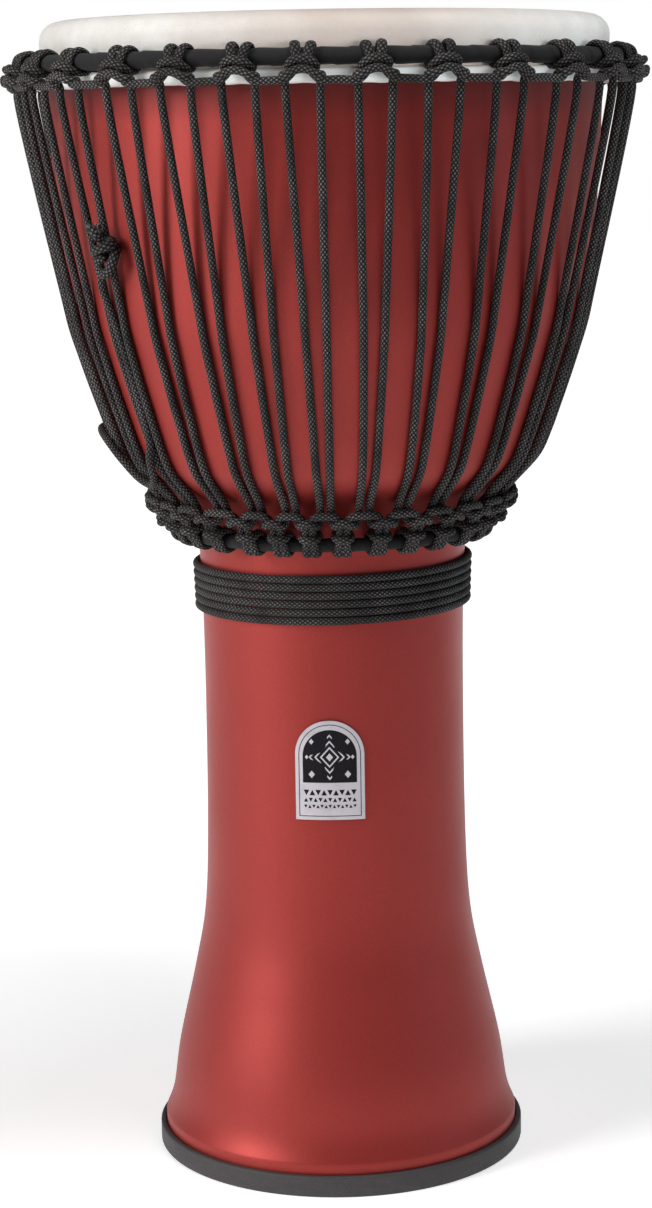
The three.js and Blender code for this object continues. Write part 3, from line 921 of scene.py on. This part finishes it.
def fray(name, count, material, thickness, longest):
    """Loose filaments where the rope's cut end opens."""
    fibres = []
    for _ in range(count):
        spin, out = chance.uniform(0, 2 * math.pi), chance.uniform(0.2, 3.2)
        size = chance.uniform(0.4, 1) * longest
        root = (-2.4 + out * math.cos(spin), 3.2 + out * math.sin(spin),
                14.4 + chance.uniform(-3, 1))
        tip = (root[0] + 0.6 * out * math.cos(spin) * size / 3 - 0.1 * size,
               root[1] + 0.6 * out * math.sin(spin) * size / 3 + 0.1 * size, root[2] + 0.7 * size)
        bend = tuple((a + b) / 2 + chance.uniform(-0.7, 0.7) for a, b in zip(root, tip))
        line = smooth_path([knot_place(*spot) for spot in (root, bend, tip)], step=1, most=4)
        taper = np.linspace(thickness, thickness / 3, len(line))
        fibres.append(tube(line, thickness, sides=5, radii=taper))
    verts, faces, uvs = together(fibres)
    make(name, verts, faces, [material], uvs, sharp=80)


fray("tie_knot_light_fray", 44, FRAY, 0.2, 4.2)
fray("tie_knot_dark_fray", 110, DARK_FRAY, 0.32, 5.0)


# ---- badge ----
def on_stem(x, z, out):
    """A point of the badge's flat drawing, bent round the stem, out from the plate's back."""
    radius = BADGE_INNER + out
    return place(BADGE_ANGLE + math.degrees(x / BADGE_INNER), radius, BADGE_LOW + z)


def blank_uvs(faces):
    return [(0.0, 0.0)] * sum(len(face) for face in faces)


def arched_slab(half, low, high, back, front, bevel=0.0):
    """A closed slab with an arched top, between two distances out from the stem."""
    spring, columns = high - half, 24
    rows = [(half, low + (spring - low) * i / 20) for i in range(21)]
    rows += [(half * math.cos(t), spring + half * math.sin(t))
             for t in (math.pi / 2 * i / 16 for i in range(1, 16))]
    rows.append((half * 0.03, high - 0.01))
    across = columns + 1
    verts, faces = [], []
    for layer, out in enumerate((back, front)):
        shrink = bevel if layer else 0.0
        for wide, z in rows:
            z = min(max(z, low + shrink), high - shrink)
            wide = max(wide - shrink, 0.05)
            for c in range(across):
                verts.append(on_stem(-wide + 2 * wide * c / columns, z, out))
    count = len(rows) * across
    for r in range(len(rows) - 1):
        for c in range(columns):
            a = r * across + c
            faces.append([a, a + 1, a + across + 1, a + across])
            faces.append([count + a, count + a + across, count + a + across + 1, count + a + 1])
    border = list(range(across)) + [r * across + columns for r in range(1, len(rows))]
    border += [(len(rows) - 1) * across + c for c in range(columns - 1, -1, -1)]
    border += [r * across for r in range(len(rows) - 2, 0, -1)]
    for a, b in zip(border, border[1:] + border[:1]):
        faces.append([a, b, count + b, count + a])
    return verts, faces, blank_uvs(faces)


def flat_shape(outline, back, front):
    """A thin closed prism of a small convex outline in the badge's drawing."""
    count = len(outline)
    verts = [on_stem(x, z, out) for out in (back, front) for x, z in outline]
    faces = [list(range(count)), [count + k for k in reversed(range(count))]]
    faces += [[k, (k + 1) % count, count + (k + 1) % count, count + k] for k in range(count)]
    return verts, faces, blank_uvs(faces)


def line_shape(points, width, back, front):
    """A thin band along a closed line in the badge's drawing."""
    points = [np.array(p, float) for p in points]
    count = len(points)
    edges = []
    for i, p in enumerate(points):
        first, second = p - points[i - 1], points[(i + 1) % count] - p
        first, second = first / np.linalg.norm(first), second / np.linalg.norm(second)
        along = (first + second) / np.linalg.norm(first + second)
        reach = width / 2 / max(0.4, float(np.dot(along, first)))
        sideways = reach * np.array([-along[1], along[0]])
        edges.append((p + sideways, p - sideways))
    verts = [on_stem(*side, out) for pair in edges for side in pair for out in (back, front)]
    faces = []
    for i in range(count):
        a, b = 4 * i, 4 * ((i + 1) % count)
        for p, q in ((0, 1), (1, 3), (3, 2), (2, 0)):
            faces.append([a + p, a + q, b + q, b + p])
    return verts, faces, blank_uvs(faces)


def arch_line(half, low, high):
    """Points of a thin arched frame in the badge's drawing."""
    spring, steps = high - half, 20
    turns = [math.pi * i / steps for i in range(steps + 1)]
    return [(-half, low), *[(-half, low + (spring - low) * i / 6) for i in range(1, 6)],
            *[(-half * math.cos(t), spring + half * math.sin(t)) for t in turns],
            *[(half, spring - (spring - low) * i / 6) for i in range(1, 6)], (half, low),
            *[(half - 2 * half * i / 8, low) for i in range(1, 8)]]


FACE = 0.7                       # the plate's face, out from its back
BLACK_BACK, BLACK_FACE = FACE - 0.05, FACE + 0.06
SILVER_FACE = FACE + 0.14
verts, faces, uvs = arched_slab(BADGE_WIDTH / 2, 0, BADGE_HEIGHT, 0.0, FACE, bevel=0.25)
make("badge_plate_face", verts, faces, [PLATE], uvs, sharp=30,
     replaces=["badge"])


def diamond(x, z, wide, tall):
    return [(x - wide, z), (x, z - tall), (x + wide, z), (x, z + tall)]


MARGIN = 2.3
frame_line = arch_line(BADGE_WIDTH / 2 - MARGIN, MARGIN, BADGE_HEIGHT - MARGIN)
black = [line_shape(frame_line, 0.4, BLACK_BACK, BLACK_FACE),
         arched_slab(14.4, 20.6, 49.4, BLACK_BACK, BLACK_FACE)]
for row, (z, count, size) in enumerate(((15.2, 9, 1.5), (11.2, 11, 1.1), (7.6, 13, 0.9))):
    for i in range(count):
        x = (i - (count - 1) / 2) * 28.4 / count
        up = 1 if (i + row) % 2 else -1
        triangle = [(x - size, z - up * size), (x + size, z - up * size), (x, z + up * size)]
        black.append(flat_shape(triangle[::up], BLACK_BACK, BLACK_FACE))
verts, faces, uvs = together(black)
make("badge_black_print", verts, faces, [PRINT], uvs, sharp=30)
MIDDLE = 34.6                    # height of the pattern's middle on the plate
silver = []
for wide in (10.6, 7.6, 4.6):
    silver.append(line_shape(diamond(0, MIDDLE, wide, wide * 1.12), 0.75, FACE, SILVER_FACE))
silver.append(flat_shape(diamond(0, MIDDLE, 1.9, 2.2), FACE, SILVER_FACE))
for side in (-1, 1):
    for x, z, size in ((9.6, 25.2, 1.7), (9.6, 43.0, 1.3), (12.2, MIDDLE, 1.0)):
        silver.append(flat_shape(diamond(side * x, z, size, size * 1.2), FACE, SILVER_FACE))
verts, faces, uvs = together(silver)
make("badge_silver_print", verts, faces, [PLATE], uvs, sharp=30)

# ---- camera ----
camera_data = bpy.data.cameras.new("camera")
camera_data.lens = 82.56         # with the camera's place, fits the drum to the frame
camera_data.sensor_width = 36
camera_data.clip_end = 50
camera = bpy.data.objects.new("camera", camera_data)
bpy.context.scene.collection.objects.link(camera)
yaw, pitch, roll = 0.0026, -0.1728, 0.0163
aim = Matrix.Rotation(yaw, 3, "Z") @ Matrix.Rotation(pitch, 3, "X") @ Matrix.Rotation(roll, 3, "Y")
right, forward, up = aim.col
turned = Matrix((right, up, -forward)).transposed()
camera.matrix_world = Matrix.Translation(Vector((0, -1.5124, 0.5697))) @ turned.to_4x4()
bpy.context.scene.camera = camera

# ---- studio ----
AMBIENT, BACKDROP = 0.08, 0.1    # strength of the world in front of the drum and behind it
FLOOR_GLOW = 0.42                # strength of the floor's own light round the drum
KEY, FILL, OVER, FRONT = 66, 4.8, 1.3, 17    # watts
COOL, COOL_WHITE = (0.48, 0.8, 1.0), (0.93, 0.97, 1.0)
scene = bpy.context.scene
scene.view_settings.view_transform = "Standard"
scene.view_settings.look = "None"
world = bpy.data.worlds.new("studio")
scene.world = world
world.use_nodes = True
tree = world.node_tree
tree.nodes.clear()


def world_node(kind, **settings):
    node = tree.nodes.new(kind)
    for key, value in settings.items():
        setattr(node, key, value)
    return node


# A white backdrop, brightest behind the drum and dim in front of it.
towards = world_node("ShaderNodeTexCoord")
parts = world_node("ShaderNodeSeparateXYZ")
tree.links.new(towards.outputs["Generated"], parts.inputs[0])
behind = world_node("ShaderNodeMapRange")
set_range(behind, -0.2, 0.7, AMBIENT, BACKDROP)
tree.links.new(parts.outputs[1], behind.inputs["Value"])
studio_light, white = world_node("ShaderNodeBackground"), world_node("ShaderNodeBackground")
tree.links.new(behind.outputs[0], studio_light.inputs[1])
white.inputs[0].default_value = (1, 1, 1, 1)
studio_light.inputs[0].default_value = (1, 1, 1, 1)
seen, mixed, out = (world_node(kind) for kind in (
    "ShaderNodeLightPath", "ShaderNodeMixShader", "ShaderNodeOutputWorld"))
tree.links.new(seen.outputs["Is Camera Ray"], mixed.inputs[0])
tree.links.new(studio_light.outputs[0], mixed.inputs[1])
tree.links.new(white.outputs[0], mixed.inputs[2])
tree.links.new(mixed.outputs[0], out.inputs[0])


def soft_light(name, where, target, size, power):
    """A rectangular light, turned towards its target."""
    data = bpy.data.lights.new(name, "AREA")
    data.shape = "RECTANGLE"
    data.size, data.size_y = size
    data.energy = power
    light = bpy.data.objects.new(name, data)
    scene.collection.objects.link(light)
    light.location = where
    light.rotation_euler = (Vector(target) - Vector(where)).to_track_quat("-Z", "Y").to_euler()
    return light


soft_light("key_left", (-2.4, -1.3, 1.5), (0, 0, 0.3), (0.9, 1.8), KEY)
fill = soft_light("fill_right", (2.3, -0.6, 1.0), (0, 0, 0.4), (1.0, 1.4), FILL)
fill.data.color = COOL
over = soft_light("over", (0.5, -0.45, 1.8), (0.1, -0.12, 0.6), (0.5, 0.5), OVER)
over.data.spread = math.radians(60)

# The skin alone gets a light from the front, which reaches its fold below the crown ring.
front = soft_light("front_on_skin", (0.95, -1.65, 0.6), (0.02, -0.15, 0.592), (1.2, 0.3), FRONT)
front.data.color = COOL_WHITE
skin_only = bpy.data.collections.new("skin_only")
skin_only.objects.link(head)
front.light_linking.receiver_collection = skin_only

floor_mesh = bpy.data.meshes.new("studio_floor")
FLOOR_RADIUS, FLOOR_SIDES = 12, 64           # metres, and corners of its outline
turns = [2 * math.pi * i / FLOOR_SIDES for i in range(FLOOR_SIDES)]
ring = [(FLOOR_RADIUS * math.cos(t), FLOOR_RADIUS * math.sin(t), 0) for t in turns]
floor_mesh.from_pydata(ring, [], [list(range(FLOOR_SIDES))])
floor_mesh.materials.append(floor_material())
floor = bpy.data.objects.new("studio_floor", floor_mesh)
scene.collection.objects.link(floor)
